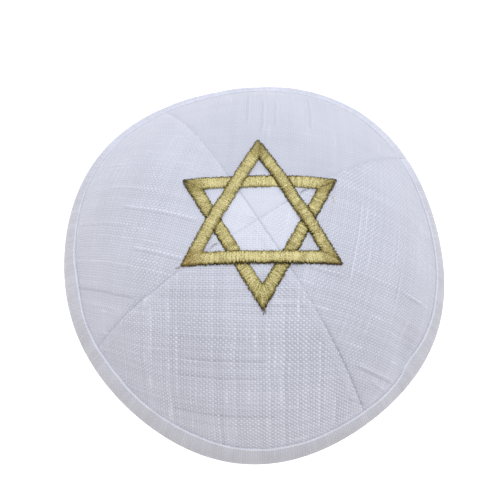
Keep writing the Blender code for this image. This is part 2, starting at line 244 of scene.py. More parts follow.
class Shade:
    """A socket of a shader. Python's operators on it add Math nodes."""

    def __init__(self, tree, socket=None):
        self.tree = tree
        self.socket = socket

    def add(self, kind, settings, inputs, output=0):
        """One more node: its settings first, then its sockets by name or number."""
        node = self.tree.nodes.new(kind)
        for name, value in settings.items():
            setattr(node, name, value)
        for key, value in inputs.items():
            if isinstance(value, Shade):
                self.tree.links.new(value.socket, node.inputs[key])
            else:
                node.inputs[key].default_value = value
        return Shade(self.tree, node.outputs[output])

    def maths(self, operation, *values):
        return self.add("ShaderNodeMath", {"operation": operation}, dict(enumerate(values)))

    def __add__(self, other):
        return self.maths("ADD", self, other)

    def __radd__(self, other):
        return self.maths("ADD", other, self)

    def __sub__(self, other):
        return self.maths("SUBTRACT", self, other)

    def __rsub__(self, other):
        return self.maths("SUBTRACT", other, self)

    def __mul__(self, other):
        return self.maths("MULTIPLY", self, other)

    def __rmul__(self, other):
        return self.maths("MULTIPLY", other, self)

    def __truediv__(self, other):
        return self.maths("DIVIDE", self, other)

    def __neg__(self):
        return self.maths("MULTIPLY", self, -1.0)

    def floor(self):
        return self.maths("FLOOR", self)

    def cosine(self):
        return self.maths("COSINE", self)

    def hill(self, width):
        """1 where the value is 0, falling to 0 about a width to either side."""
        share = self / width
        return self.maths("EXPONENT", -(share * share))

    def step(self, low, high):
        """Ease from 0 to 1 as the value goes from low to high."""
        return self.add("ShaderNodeMapRange", {"interpolation_type": "SMOOTHSTEP"},
                        {0: self, 1: low, 2: high, 3: 0.0, 4: 1.0})

    def clamp(self):
        return self.add("ShaderNodeClamp", {}, {0: self, 1: 0.0, 2: 1.0})

    def axis(self, number):
        return self.add("ShaderNodeSeparateXYZ", {}, {0: self}, number)

    def vector(self, x, y, z):
        return self.add("ShaderNodeCombineXYZ", {}, {0: x, 1: y, 2: z})

    def attribute(self, name, output="Vector"):
        """A value that the piece's mesh carries at each of its points."""
        return self.add("ShaderNodeAttribute", {"attribute_name": name}, {}, output)

    def spot(self):
        """The place on the piece."""
        return self.add("ShaderNodeTexCoord", {}, {}, "Object")

    def chance(self, number):
        """A random value from 0 to 1 for each whole number."""
        return self.add("ShaderNodeTexWhiteNoise", {"noise_dimensions": "1D"}, {"W": number})

    def cloud(self, place, scale, detail, output=0):
        """Soft noise about 0.5 at a place."""
        return self.add("ShaderNodeTexNoise", {"noise_dimensions": "3D"},
                        {"Vector": place, "Scale": scale, "Detail": detail}, output)

    def blend(self, factor, first, second):
        """Mix of two colours."""
        return self.add("ShaderNodeMix", {"data_type": "RGBA"}, {0: factor, 6: first, 7: second}, 2)

    def bump(self, height, distance, strength=1.0):
        return self.add("ShaderNodeBump", {}, {"Strength": strength, "Distance": distance, "Height": height})

    def surface(self, colour, roughness, normal, constants):
        """The Principled shader and the output, which end a material."""
        varying = {"Base Color": colour, "Roughness": roughness, "Normal": normal}
        shader = self.add("ShaderNodeBsdfPrincipled", {}, {**varying, **constants})
        output = self.tree.nodes.new("ShaderNodeOutputMaterial")
        self.tree.links.new(shader.socket, output.inputs["Surface"])


def new_material(name):
    """An empty material, and the start of its shader."""
    material = bpy.data.materials.new(name)
    material.use_nodes = True
    material.node_tree.nodes.clear()
    return material, Shade(material.node_tree)


WARP_PITCH = 1.06 * MM          # a warp thread's share of the cloth's width
WEFT_PITCH = 0.86 * MM
CLOTH_LIGHT = (0.770, 0.780, 0.860, 1.0)
CLOTH_DARK = (0.360, 0.360, 0.405, 1.0)
LEAN_TONE = 0.085               # how strongly the light picks out one diagonal of the weave or the other
# Each panel's base tone differs from the others as painted light and shade, set for how the light falls on
# its side of the cap.
PANEL_TONE = {"panel_front": 0.52, "panel_right": 0.54, "panel_back": 0.49, "panel_left": 0.56}
LEAN_TURN = {"panel_front": 0.009}      # the front panel's lean changes from one side of it to the other
CLOTH_SHEEN = {"Sheen Weight": 0.15, "Sheen Roughness": 0.4, "Specular IOR Level": 0.25}

TAUT_REACH = (15.0 * MM, 24.0 * MM)     # the stitching pulls the cloth tight as near as this to the crown, and painted light makes the cloth paler there
LOOSE_REACH = (30.0 * MM, 46.0 * MM)    # and farther out than this the weave opens into small dots, painted highlights where the threads cross
BEHIND = (5.0 * MM, 55.0 * MM)          # behind and at the sides the cloth is seen too steeply to show much
ASIDE = (38.0 * MM, 64.0 * MM)
ASIDE_START = (-48.0 * MM, -18.0 * MM)
SLUB_TAPER = 3.0                        # threads over which a slub thins out at its ends

Slub = namedtuple("Slub", "runs_down thread start end strength")


def round_thread(off, chance, slub):
    """Height of a thread's round section, off its middle, where chance or a slub make it thicker."""
    share = off / (0.40 + 0.10 * chance + 0.20 * slub)
    return 1.0 - share * share


def panel_material(panel, seed, slubs, contrast):
    """Plain weave of uneven threads: the panel's threads attribute counts them across and down."""
    material, shade = new_material("cloth_" + panel)
    place = shade.attribute("threads")
    flat = shade.vector(place.axis(0), place.axis(1), float(seed))
    waver = shade.cloud(flat, 0.09, 2.0, 1)
    across = place.axis(0) + 1.3 * (waver.axis(0) - 0.5)
    down = place.axis(1) + 1.3 * (waver.axis(1) - 0.5)
    warp = across.floor()
    weft = down.floor()
    off_warp = across - warp - 0.5
    off_weft = down - weft - 0.5
    parity = shade.maths("FLOORED_MODULO", warp + weft, 2.0)
    over = 1.0 - 2.0 * parity

    warp_chance = shade.chance(warp + (seed + 0.37))
    weft_chance = shade.chance(weft + (seed + 50.81))
    warp_slub = shade.cloud(shade.vector(warp * 5.3, down * 0.07, float(seed)), 1.0, 1.0).step(0.56, 0.74)
    weft_slub = shade.cloud(shade.vector(weft * 4.7, across * 0.06, seed + 9.0), 1.0, 1.0).step(0.58, 0.76)
    warp_slub = warp_slub * warp_chance.step(0.45, 0.95)
    weft_slub = weft_slub * weft_chance.step(0.55, 0.95)
    shadow = 0.0
    for slub in (Slub(*row) for row in slubs):
        along, count, aside = (down, warp, across) if slub.runs_down else (across, weft, down)
        reach = along.step(slub.start, slub.start + SLUB_TAPER)
        reach = reach * (1.0 - along.step(slub.end - SLUB_TAPER, slub.end))
        if slub.strength < 0.0:
            shadow = shadow + (aside - (slub.thread + 0.5)).hill(0.42) * reach * (-2.2 * slub.strength)
            continue
        line = (count - float(slub.thread)).hill(0.6) * reach * slub.strength
        shaded = slub.thread + (-0.5 if panel == "panel_right" else 1.5)
        shadow = shadow + (aside - shaded).hill(0.45) * reach * slub.strength
        if slub.runs_down:
            warp_slub = warp_slub + line
        else:
            weft_slub = weft_slub + line

    warp_round = round_thread(off_warp, warp_chance, warp_slub)
    weft_round = round_thread(off_weft, weft_chance, weft_slub)
    warp_height = 0.55 * over * (math.pi * off_weft).cosine() + 0.45 * warp_round + 0.5 * warp_slub
    weft_height = 0.45 * weft_round - 0.55 * over * (math.pi * off_warp).cosine() + 0.5 * weft_slub
    height = shade.maths("MAXIMUM", warp_height, weft_height)
    warp_on_top = (warp_height - weft_height).step(-0.1, 0.1)

    fibres = shade.cloud(shade.vector(across, down, seed + 3.0), 3.1, 2.0)
    patches = shade.cloud(flat, 0.05, 2.0)
    pressed = shade.attribute("pressed", "Fac")
    # The crease attribute paints highlights on the folds' ridges and shade in their valleys.
    crease = shade.attribute("crease", "Fac")
    # The seam attribute paints shade along the seams' grooves and hollows, less painted light in the crease
    # along the binding.
    seam = shade.attribute("seam", "Fac")
    uneven = shade.cloud(flat, 0.16, 2.0).step(0.32, 0.64)
    lean = (shade.cloud(flat, 0.055, 1.0) - LEAN_TURN.get(panel, 0.0) * across).step(0.36, 0.64)
    rising = (math.pi * (across + down)).cosine()
    falling = (math.pi * (across - down)).cosine()
    round_top = (math.pi * off_warp).cosine() * (math.pi * off_weft).cosine()
    # The weave's tone is partly painted light: painted shade in the gaps between threads, painted highlights
    # on the thread tops and at their crossings, and one diagonal or the other lit by LEAN_TONE. The threads'
    # own tones and the slubs vary at random.
    weave = 0.30 * (height.step(-0.6, 1.1) - 0.6) + 0.06 * (warp_on_top - 0.5)
    spot = shade.spot()
    off_crown = shade.add("ShaderNodeVectorMath", {"operation": "DISTANCE"},
                          {0: spot, 1: CROWN_PLACE + Vector((0.0, 0.0, CROWN_HEIGHT))}, "Value")
    loose = off_crown.step(*LOOSE_REACH)
    dots = 0.46 * (0.30 + 0.70 * loose) * (0.30 + 0.70 * uneven)
    weave = weave + dots * ((1.0 - parity) * round_top * round_top - 0.125)
    weave = weave + 0.16 * (1.0 - loose) * ((math.pi * off_weft).cosine() - 0.64)
    weave = weave + LEAN_TONE * (1.2 - uneven) * (lean * rising + (1.0 - lean) * falling)
    weave = weave + 0.26 * warp_slub * warp_on_top + 0.22 * weft_slub * (1.0 - warp_on_top)
    weave = weave + 0.20 * (fibres - 0.5) + 0.08 * (warp_chance - 0.5) + 0.09 * (weft_chance - 0.5)
    # Near the crown the stitching holds the weave flatter, and painted light makes the cloth paler.
    taut_and_lit = 1.0 - off_crown.step(*TAUT_REACH)
    at_side = shade.maths("ABSOLUTE", spot.axis(0)).step(*ASIDE) * spot.axis(1).step(*ASIDE_START)
    steep = (spot.axis(1).step(*BEHIND) + at_side).clamp()
    clear = contrast * (1.0 - 0.33 * steep) * (1.0 - 0.55 * pressed) * (1.0 - 0.35 * taut_and_lit)
    tone = PANEL_TONE[panel] + clear * weave
    tone = tone + 0.22 * (patches - 0.5) - 0.20 * shadow + 0.07 * pressed
    tone = tone + 0.33 * taut_and_lit + 0.16 * crease - 0.34 * seam
    colour = shade.blend(tone.clamp(), CLOTH_DARK, CLOTH_LIGHT)
    normal = shade.bump(height + 0.25 * fibres, 0.16 * MM, 0.9 * min(1.0, contrast))
    shade.surface(colour, 0.86, normal, CLOTH_SHEEN)
    return material


PANEL_ROWS = 180                # rows of a panel's pattern down to the binding
ROWS_IN_BINDING = 8
PANEL_LANES = 200
SEAM_DIP = 0.30 * MM
SEAM_DIP_WIDTH = 0.8 * MM
SEAM_ROLL = 0.22 * MM           # how far the cut edges turn down into the seam
SEAM_ROLL_WIDTH = 0.28 * MM
SEAM_LINE = 0.45 * MM
SEAM_FAINT = 33.0 * MM          # the seams are hardly seen just outside the star
SEAM_FAINT_REACH = 11.0 * MM
SEAM_SHADE = 1.9 * MM           # reach of the painted shade in the hollow beside a seam, on the side without an allowance
SEAM_QUIET = 22.0 * MM          # the seams are flatter than this near to the crown, under the stitching
ALLOWANCE_RISE = 0.25 * MM
CREVICE_LIGHT = 0.36            # painted light makes the cloth paler in the crease along the binding, most of all behind
CREVICE_REACH = 1.3 * MM
CREVICE_HEADING = math.radians(78.0)
ALLOWANCE_WIDTH = 3.2 * MM
PUCKER = 0.11 * MM
PUCKER_LENGTH = 2.6 * MM
PUCKER_REACH = 3.5 * MM
ALLOWANCE_RIPPLE = 0.14 * MM
LINE_BREAK = 1.1 * MM           # length of the breaks in a broken seam line
LANE_CROWD = 0.11               # the pattern's lanes crowd towards the seams
TUCK_REACH = 1.5 * MM           # the cloth lies plain from here on, where the binding covers it
WELD = 0.002 * MM
SWAY = 0.22 * MM                # soft unevenness of the cloth
SWAY_LENGTH = 16.0 * MM

FOLD_LIT = 0.5 * MM             # a ridge as high as this is as pale as creases get: painted highlight on the ridges, painted shade in their valleys
FOLD_FADE = 0.3                 # a crease dies away this far beyond its ends, as a share of its length
Fold = namedtuple("Fold", "start end width rise")
FOLDS = (
    Fold((39.5, -53.0), (52.5, -56.8), 0.62 * MM, 0.36 * MM),
    Fold((44.8, -58.2), (49.8, -60.2), 0.55 * MM, 0.24 * MM),
    Fold((35.0, -63.6), (41.0, -65.0), 0.50 * MM, 0.20 * MM),
)


def distance_left(seam, x, y):
    """Distance of a place from a seam's line, above zero on the seam's left."""
    azimuth = math.radians(seam.azimuth)
    return y * math.cos(azimuth) - x * math.sin(azimuth)


def allowance_share(seam, distance, has_allowance):
    """How much a seam's pressed allowance shows at a distance from it."""
    if not has_allowance:
        return 0.0
    share = 0.25 + 0.75 * seam.openness
    rise = smooth_step(distance / (2.0 * SEAM_DIP_WIDTH))
    return share * rise * (1.0 - smooth_step((distance - ALLOWANCE_WIDTH) / SEAM_DIP_WIDTH))


def open_share(seam, along):
    """How open a seam is at a distance from the crown, where it is flat under the stitching."""
    faint = 1.0 - 0.6 * bell((along - SEAM_FAINT) / SEAM_FAINT_REACH)
    return seam.openness * faint * (0.45 + 0.55 * smooth_step(along / SEAM_QUIET - 0.5))


def seam_relief(seam, distance, along, allowance):
    """Height of the cloth at a distance from a seam: groove, rolled edge, puckers and allowance."""
    opened = open_share(seam, along)
    relief = -SEAM_DIP * opened * bell(distance / SEAM_DIP_WIDTH)
    relief -= SEAM_ROLL * opened * bell(distance / SEAM_ROLL_WIDTH)
    gather = noise.noise(Vector((along / PUCKER_LENGTH, seam.azimuth, 0.6 * distance / PUCKER_LENGTH)))
    gather *= 0.25 + 0.75 * smooth_step(along / SEAM_QUIET - 0.5)
    relief += PUCKER * gather * math.exp(-distance / PUCKER_REACH)
    return relief + allowance * (ALLOWANCE_RISE + 0.3 * PUCKER * math.sin(distance / ALLOWANCE_RIPPLE))


def seam_darkness(seam, distance, along, has_allowance):
    """How dark the cloth is beside a seam: a thin line, partly painted shade in its groove and partly the
    seam's own darker join, and painted shade in a soft hollow where no allowance lifts it.
    """
    line = seam.line + (seam.line_outside - seam.line) * smooth_step(along / SEAM_QUIET - 0.7)
    line *= 1.0 - 0.80 * bell((along - SEAM_FAINT) / SEAM_FAINT_REACH)
    line *= bell(distance / SEAM_LINE)
    if seam.broken:
        line *= smooth_step(0.5 + 1.8 * noise.noise(Vector((along / LINE_BREAK, seam.azimuth, 0.0))))
    hollow = 0.0 if has_allowance else 0.25 * smooth_step(along / SEAM_QUIET - 1.6)
    return line + hollow * bell(distance / SEAM_SHADE)


def fold_relief(x, y):
    """Height of the creases left in the cloth where it was folded: a ridge with a valley beside it."""
    relief = 0.0
    place = Vector((x, y))
    for fold in FOLDS:
        start = Vector(fold.start) * MM
        run = Vector(fold.end) * MM - start
        along = (place - start).dot(run) / run.length_squared
        if -FOLD_FADE < along < 1.0 + FOLD_FADE:
            aside = (place - start - run * along).dot(Vector((-run.y, run.x)).normalized()) / fold.width
            share = smooth_step((along + FOLD_FADE) / FOLD_FADE)
            share *= smooth_step((1.0 + FOLD_FADE - along) / FOLD_FADE)
            relief += fold.rise * share * (bell(aside) - 0.8 * bell(aside + 1.6))
    return relief


def arc_lengths():
    """Length of cloth from the crown down to each plan radius, at even steps of the radius."""
    steps = 400
    lengths = [0.0]
    for step in range(steps):
        middle = CLOTH_RADIUS * (step + 0.5) / steps
        lengths.append(lengths[-1] + CLOTH_RADIUS / steps * math.hypot(1.0, cloth_slope(middle)))
    return lengths


ARC_LENGTHS = arc_lengths()


def cloth_length(radius):
    """Length of cloth from the crown down to a plan radius."""
    step = min(radius / CLOTH_RADIUS, 1.0) * (len(ARC_LENGTHS) - 1)
    low = min(int(step), len(ARC_LENGTHS) - 2)
    return ARC_LENGTHS[low] + (ARC_LENGTHS[low + 1] - ARC_LENGTHS[low]) * (step - low)


def sew_panel(first, second, material):
    """Panel between two seams: its pattern drawn flat from a grid, then given its thickness and laid."""
    start = math.radians(first.azimuth)
    span = math.radians((second.azimuth - first.azimuth) % 360.0)
    middle = start + span / 2.0
    corner = SEAM_GAP / 2.0 / math.sin(span / 2.0)
    tape_edge = radius_up_slope(TAPE_WIDTH)
    panel_edge = radius_up_slope(SLOT_BOTTOM * TAPE_WIDTH + PIECE_GAP)
    tape_radius = radius_up_slope(TAPE_WIDTH + PIECE_GAP)
    grain = math.radians(first.grain)
    rows = PANEL_ROWS + ROWS_IN_BINDING
    mesh = bmesh.new()
    threads = mesh.verts.layers.float_vector.new("threads")
    pressed = mesh.verts.layers.float.new("pressed")
    crease = mesh.verts.layers.float.new("crease")
    groove = mesh.verts.layers.float.new("seam")
    bmesh.ops.create_grid(mesh, x_segments=rows, y_segments=PANEL_LANES, size=0.5)
    for vert in mesh.verts:
        row = round((vert.co.x + 0.5) * rows)
        share = vert.co.y + 0.5
        share -= LANE_CROWD * math.sin(2.0 * math.pi * share)
        if row <= PANEL_ROWS:
            reach = tape_edge * row / PANEL_ROWS
        else:
            reach = tape_edge + (panel_edge - tape_edge) * (row - PANEL_ROWS) / ROWS_IN_BINDING
        azimuth = start + span * share if row > 0 else start
        if row > 0:
            reach -= corner * math.cos(azimuth - middle)
        x = corner * math.cos(middle) + reach * math.cos(azimuth)
        y = corner * math.sin(middle) + reach * math.sin(azimuth)
        near_first = distance_left(first, x, y)
        near_second = -distance_left(second, x, y)
        if near_first < near_second:
            seam, distance, lifted = first, near_first, first.allowance_on_left
        else:
            seam, distance, lifted = second, near_second, not second.allowance_on_left
        allowance = allowance_share(seam, distance, lifted)
        relief = seam_relief(seam, distance, reach, allowance)
        # Painted shade along the seam, and in its hollow where no allowance lifts the cloth.
        vert[groove] = seam_darkness(seam, distance, reach, lifted)
        vert[pressed] = allowance
        # Painted light in the crease along the binding, strongest behind.
        lit = CREVICE_LIGHT * (1.0 + 1.1 * max(0.0, math.cos(azimuth - CREVICE_HEADING)))
        vert[groove] -= lit * bell((tape_edge - reach) / CREVICE_REACH)
        relief += SWAY * noise.noise(Vector((x / SWAY_LENGTH, y / SWAY_LENGTH, 3.7)))
        folded = fold_relief(x, y)
        relief += folded
        # Painted highlight and shade along the folds, from their height.
        vert[crease] = folded / FOLD_LIT
        under_tape = smooth_step(1.0 - (tape_radius - math.hypot(x, y)) / TUCK_REACH)
        vert.co = (x, y, relief * (1.0 - under_tape))
        length = cloth_length(reach)
        turn = (azimuth - middle) * reach / length if row > 0 else 0.0
        turn += grain
        vert[threads] = (length * math.sin(turn) / WARP_PITCH, length * math.cos(turn) / WEFT_PITCH, 0.0)
    bmesh.ops.remove_doubles(mesh, verts=mesh.verts[:], dist=WELD)
    under = bmesh.ops.extrude_face_region(mesh, geom=mesh.faces[:])
    for vert in under["geom"]:
        if isinstance(vert, bmesh.types.BMVert):
            vert.co.z = -PANEL_CLOTH
    lay_on_crown(mesh)
    bmesh.ops.recalc_face_normals(mesh, faces=mesh.faces[:])
    piece = finish_piece(first.left_panel + "_cloth", mesh, material, 50.0)
    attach(piece, "root")
    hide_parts(first.left_panel)


PANEL_CONTRAST = {"panel_front": 1.30, "panel_right": 0.90, "panel_back": 0.55, "panel_left": 0.85}
DOWN = True
OVER = False
PANEL_SLUBS = {                 # counted in threads from the crown and from the panel's middle
    "panel_front": (
        (DOWN, -8, 45.1, 101.5, 0.40), (DOWN, 4, 42.9, 108.3, 0.60), (DOWN, 9, 38.3, 107.2, 0.50),
        (DOWN, 17, 47.4, 92.5, 0.40), (DOWN, 22, 51.9, 99.3, 0.70), (DOWN, 28, 81.2, 99.3, 0.80),
        (DOWN, -14, 85.7, 108.3, 0.55), (DOWN, -29, 47.4, 72.2, 0.45), (DOWN, -39, 47.4, 67.7, 0.40),
        (OVER, 51, -34.1, 2.4, 0.45), (OVER, 31, -34.0, 2.0, 0.35), (OVER, 35, -36.5, -7.3, -0.35),
        (OVER, 42, -40.0, -6.0, 0.40), (OVER, 38, -9.7, 19.5, -0.35), (OVER, 62, -27.0, 4.0, -0.60),
        (OVER, 70, -30.0, 2.4, -0.65), (OVER, 88, -34.1, 8.0, -0.75), (OVER, 53, -4.9, 17.0, 0.50),
    ),
    "panel_right": (
        (DOWN, -10, 45.1, 101.5, 0.40), (DOWN, -10, 76.7, 93.6, 0.80), (DOWN, -13, 22.6, 42.9, 0.60),
        (OVER, 45, -14.6, 18.3, 0.80), (OVER, 72, -15.8, -3.7, 0.80), (OVER, 68, -4.9, 14.6, 0.50),
    ),
    "panel_back": (
        (DOWN, 6, 51.9, 90.2, 0.60), (DOWN, 0, 45.1, 79.0, 0.60), (DOWN, -5, 49.6, 80.1, 0.50),
        (DOWN, -19, 53.0, 92.5, 0.60),
    ),
    "panel_left": (
        (DOWN, 28, 27.1, 103.8, 0.45), (DOWN, 39, 45.1, 97.0, -0.60), (DOWN, 44, 56.4, 88.0, 0.40),
        (DOWN, 13, 56.4, 103.8, 0.55), (DOWN, 21, 24.8, 52.8, 0.95), (DOWN, 6, 24.8, 66.0, 0.90),
        (DOWN, -2, 47.4, 81.2, 0.55),
    ),
}

for number, (first_seam, second_seam) in enumerate(zip(SEAMS, SEAMS[1:] + SEAMS[:1])):
    gore = first_seam.left_panel
    cloth = panel_material(gore, 11 * number + 4, PANEL_SLUBS[gore], PANEL_CONTRAST[gore])
    sew_panel(first_seam, second_seam, cloth)


# The binding is one long strip of the same cloth, folded round the panels' raw edge and stitched down
# under its folded upper edge. It is soft and a little puffed, so it swells and draws in along the rim,
# and its fine ribs run across it. Its two ends meet at a small notch on the far right side.

TAPE_JOIN = math.radians(33.4)
TAPE_STEPS = 620
TAPE_JOIN_GAP = 0.12 * MM
TAPE_PUCKER = 0.28 * MM
TAPE_PUCKER_LENGTH = 9.0 * MM
PRESSED_HEADING = math.radians(98.0)    # behind, the strip's upper edge is pressed flatter
PRESSED_SHARE = 0.50
JOIN_WIDTH = 1.2 * MM
JOIN_DEPTH = 0.8 * MM
EDGE_WANDER = 0.25 * MM
SLOT_OUTSIDE = PIECE_GAP
SLOT_INSIDE = -(PANEL_CLOTH + PIECE_GAP)
TAPE_INSIDE = SLOT_INSIDE - TAPE_CLOTH
SLOT_MIDDLE = 0.5 * (1.0 + SLOT_BOTTOM)
RIB_PITCH = 0.95 * MM
TAPE_TONE = 0.46
TAPE_FAR = (5.0 * MM, 62.0 * MM)        # the far half is painted paler as painted light, the nearest part a little darker as painted shade
TAPE_NEAR = (-84.0 * MM, -50.0 * MM)
# The binding's near colours: the cloth's colours made warmer and greyer, as painted shade.
TAPE_LIGHT = (0.785, 0.780, 0.830, 1.0)
TAPE_DARK = (0.375, 0.365, 0.395, 1.0)

TAPE_DOWN_OUTSIDE = (           # share of its width up the cloth, and millimetres off the cloth
    (1.030, 0.02), (1.036, 0.14), (1.032, 0.32), (1.022, 0.50), (1.006, 0.66), (0.985, 0.78),
    (0.955, 0.88), (0.910, 0.98), (0.840, 1.14), (0.740, 1.40), (0.620, 1.66), (0.500, 1.80),
    (0.370, 1.86), (0.240, 1.80), (0.110, 1.68), (0.000, 1.54), (-0.070, 1.44),
)
TAPE_UP_INSIDE = (
    (0.40, TAPE_INSIDE + 0.10 * MM),
    (0.49, TAPE_INSIDE),
    (0.70, TAPE_INSIDE),
    (0.92, TAPE_INSIDE),
    (0.97, SLOT_INSIDE - 0.5 * TAPE_CLOTH),
    (0.94, SLOT_INSIDE),
    (SLOT_MIDDLE, SLOT_INSIDE),
    (SLOT_BOTTOM, SLOT_INSIDE),
    (SLOT_BOTTOM, SLOT_OUTSIDE),
    (SLOT_MIDDLE, SLOT_OUTSIDE),
)
Widening = namedtuple("Widening", "azimuth extra")
# where the strip's upper edge wanders up or down the cloth, in millimetres
TAPE_WIDENINGS = tuple(Widening(azimuth, extra * MM) for azimuth, extra in (
    (0.0, 0.3), (20.0, 0.6), (30.0, 1.1), (60.0, 0.0), (110.0, 0.3), (149.0, -0.4),
    (170.0, 0.8), (180.0, 0.9), (191.0, 2.0), (203.0, 1.4), (217.0, 1.2), (229.0, 0.8),
    (250.0, 1.0), (269.0, -0.2), (284.0, -0.4), (300.0, -0.7), (308.0, -1.1), (314.0, -0.5),
    (322.0, 1.2), (338.0, 0.5),
))
TAPE_FOOT = (0.80, 0.45, 0.0, -0.6, -1.3)     # the underside, as shares of the binding's outer height


def binding_material():
    """Fine ribs across the strip, a painted highlight along its folded upper edge, and a soft greyer body.
    """
    material, shade = new_material("cloth_binding")
    place = shade.attribute("threads")
    flat = shade.vector(place.axis(0), place.axis(1), 2.0)
    waver = shade.cloud(flat, 0.12, 2.0, 1)
    along = place.axis(0) + 0.8 * (waver.axis(0) - 0.5)
    round_edge = place.axis(1) + 0.6 * (waver.axis(1) - 0.5)
    rib = along.floor()
    off_rib = along - rib - 0.5
    pick = (round_edge * 1.1).floor()
    off_pick = round_edge * 1.1 - pick - 0.5
    over = 1.0 - 2.0 * shade.maths("FLOORED_MODULO", rib + pick, 2.0)
    chance = shade.chance(rib + 7.3)
    height = (math.pi * off_rib).cosine() * 0.8 + 0.25 * over * (math.pi * off_pick).cosine()
    fibres = shade.cloud(flat, 2.6, 2.0)
    patches = shade.cloud(flat, 0.11, 2.0)
    edge = (place.axis(2) - 1.00).hill(0.030)
    spot = shade.spot()
    far = spot.axis(1).step(*TAPE_FAR)
    near = 1.0 - spot.axis(1).step(*TAPE_NEAR)
    # The ribs' tops are lighter and their hollows darker as painted shade; a painted highlight runs along
    # the folded upper edge, weaker on the far side.
    tone = TAPE_TONE + 0.16 * height + 0.10 * (chance - 0.5) + 0.14 * (fibres - 0.5)
    tone = tone + 0.30 * (patches - 0.5) + 0.40 * edge * (1.0 - 0.70 * far) + 0.17 * far - 0.05 * near
    # The near side in the darker, warmer colours as painted shade, the far side in the panels' paler ones as
    # painted light.
    near_shaded = shade.blend(tone.clamp(), TAPE_DARK, TAPE_LIGHT)
    far_lit = shade.blend(tone.clamp(), CLOTH_DARK, CLOTH_LIGHT)
    colour = shade.blend(far, near_shaded, far_lit)
    normal = shade.bump(height + 0.3 * fibres, 0.12 * MM, 0.9)
    shade.surface(colour, 0.88, normal, CLOTH_SHEEN)
    return material


def widening(azimuth):
    """How much wider than usual the strip is at an azimuth in radians."""
    low, high, share = rows_around(azimuth, TAPE_WIDENINGS)
    return low.extra + (high.extra - low.extra) * smooth_step(share)


def bind_rim(material):
    """The strip: its section, spun once round from the join, then puffed, puckered and settled."""
    section = [(up, height * MM, 0.0) for up, height in TAPE_DOWN_OUTSIDE]
    section += [(-0.2, 0.0, CLOTH_RADIUS + share * TAPE_OUTSIDE) for share in TAPE_FOOT]
    section += [(up, height, 0.0) for up, height in TAPE_UP_INSIDE]
    mesh = bmesh.new()
    threads = mesh.verts.layers.float_vector.new("threads")
    form = mesh.verts.layers.float_vector.new("form")
    verts = []
    length = 0.0
    last = None
    for up, height, foot in section:
        place = (foot, 0.0) if foot else above_cloth(radius_up_slope(up * TAPE_WIDTH), height)
        if last:
            length += math.hypot(place[0] - last[0], place[1] - last[1])
        last = place
        vert = mesh.verts.new((place[0], 0.0, place[1]))
        vert[threads] = (0.0, length / RIB_PITCH, up if height > 0.0 else 0.0)
        vert[form] = (up, height, foot)
        verts.append(vert)
    edges = [mesh.edges.new(pair) for pair in zip(verts, verts[1:] + verts[:1])]
    mesh.faces.new(verts)
    turn = 2.0 * math.pi - TAPE_JOIN_GAP / RIM_RADIUS
    bmesh.ops.rotate(mesh, verts=mesh.verts[:], cent=(0.0, 0.0, 0.0),
                     matrix=Matrix.Rotation(TAPE_JOIN + TAPE_JOIN_GAP / 2.0 / RIM_RADIUS, 3, "Z"))
    spun = bmesh.ops.spin(mesh, geom=verts + edges, axis=(0.0, 0.0, 1.0), cent=(0.0, 0.0, 0.0),
                          angle=turn, steps=TAPE_STEPS, use_merge=False)
    last_ring = [item for item in spun["geom_last"] if isinstance(item, bmesh.types.BMEdge)]
    bmesh.ops.contextual_create(mesh, geom=last_ring)
    for vert in mesh.verts:
        azimuth = math.atan2(vert.co.y, vert.co.x)
        around = (azimuth - TAPE_JOIN) % (2.0 * math.pi)
        up, height, foot = vert[form]
        if height > SLOT_OUTSIDE:
            flatter = max(0.0, math.cos(azimuth - PRESSED_HEADING)) * smooth_step((up - 0.45) / 0.4)
            height *= 1.0 - PRESSED_SHARE * flatter
        vert[threads].x = around * RIM_RADIUS / RIB_PITCH
        if foot:
            vert.co = settle(vert.co)
            continue
        run = Vector((math.cos(azimuth), math.sin(azimuth), 0.3 * up)) * RIM_RADIUS / TAPE_PUCKER_LENGTH
        gather = 0.7 * noise.noise(run) + 0.4 * noise.noise(run * 3.1)
        join = bell(min(around, 2.0 * math.pi - around) * RIM_RADIUS / JOIN_WIDTH)
        outside = smooth_step(height / (0.8 * MM)) * smooth_step((up + 0.07) / 0.4)
        swell = outside * (TAPE_PUCKER * gather - JOIN_DEPTH * join)
        above = smooth_step((up - 0.25) / 0.6) if height > 0.0 else 0.0
        stray = EDGE_WANDER * noise.noise(run * 1.7 + Vector((9.0, 0.0, 0.0)))
        wander = above * (widening(azimuth) + stray)
        out, high = above_cloth(radius_up_slope(up * TAPE_WIDTH + wander), height + swell)
        vert.co = settle(round_place(out, azimuth, high))
    bmesh.ops.recalc_face_normals(mesh, faces=mesh.faces[:])
    piece = finish_piece("binding_cloth", mesh, material, 60.0)
    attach(piece, "root")
    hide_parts("rim_binding")


bind_rim(binding_material())


# The star is two triangles of gold satin stitch, the upright one stitched over the other. Each column is
# hundreds of glossy threads side by side over a padded ground, fanned out round its corners, with ends
# that are a little ragged where the needle took them down through the cloth.

STAR_REACH = 35.0 * MM
STAR_ASIDE = 1.0 * MM
STAR_COLUMN = 5.0 * MM
STAR_LOFT = 0.9 * MM
STAR_SEAT = PIECE_GAP + ALLOWANCE_RISE
CROSSING_PRESS = 0.6
CROSSING_RAMP = 4.0 * MM
CROSSING_LEVEL = 0.3
STITCH_PITCH = 0.31 * MM
STITCH_WIDTH = 0.48 * MM
STITCH_HEIGHT = 0.26 * MM
STITCH_SIDES = 6
STITCH_RINGS = 9
FAN_START = 13.0 * MM           # from a column's middle to where its stitches start to fan
EDGE_REACH = 0.13               # how far in from a column's sides its stitches are painted darker as painted shade, of its width
GOLD_LIGHT = (0.760, 0.665, 0.320, 1.0)
GOLD_MIDDLE = (0.270, 0.215, 0.048, 1.0)
GOLD_DARK = (0.035, 0.024, 0.004, 1.0)
GOLD_RED = (0.260, 0.150, 0.030, 1.0)


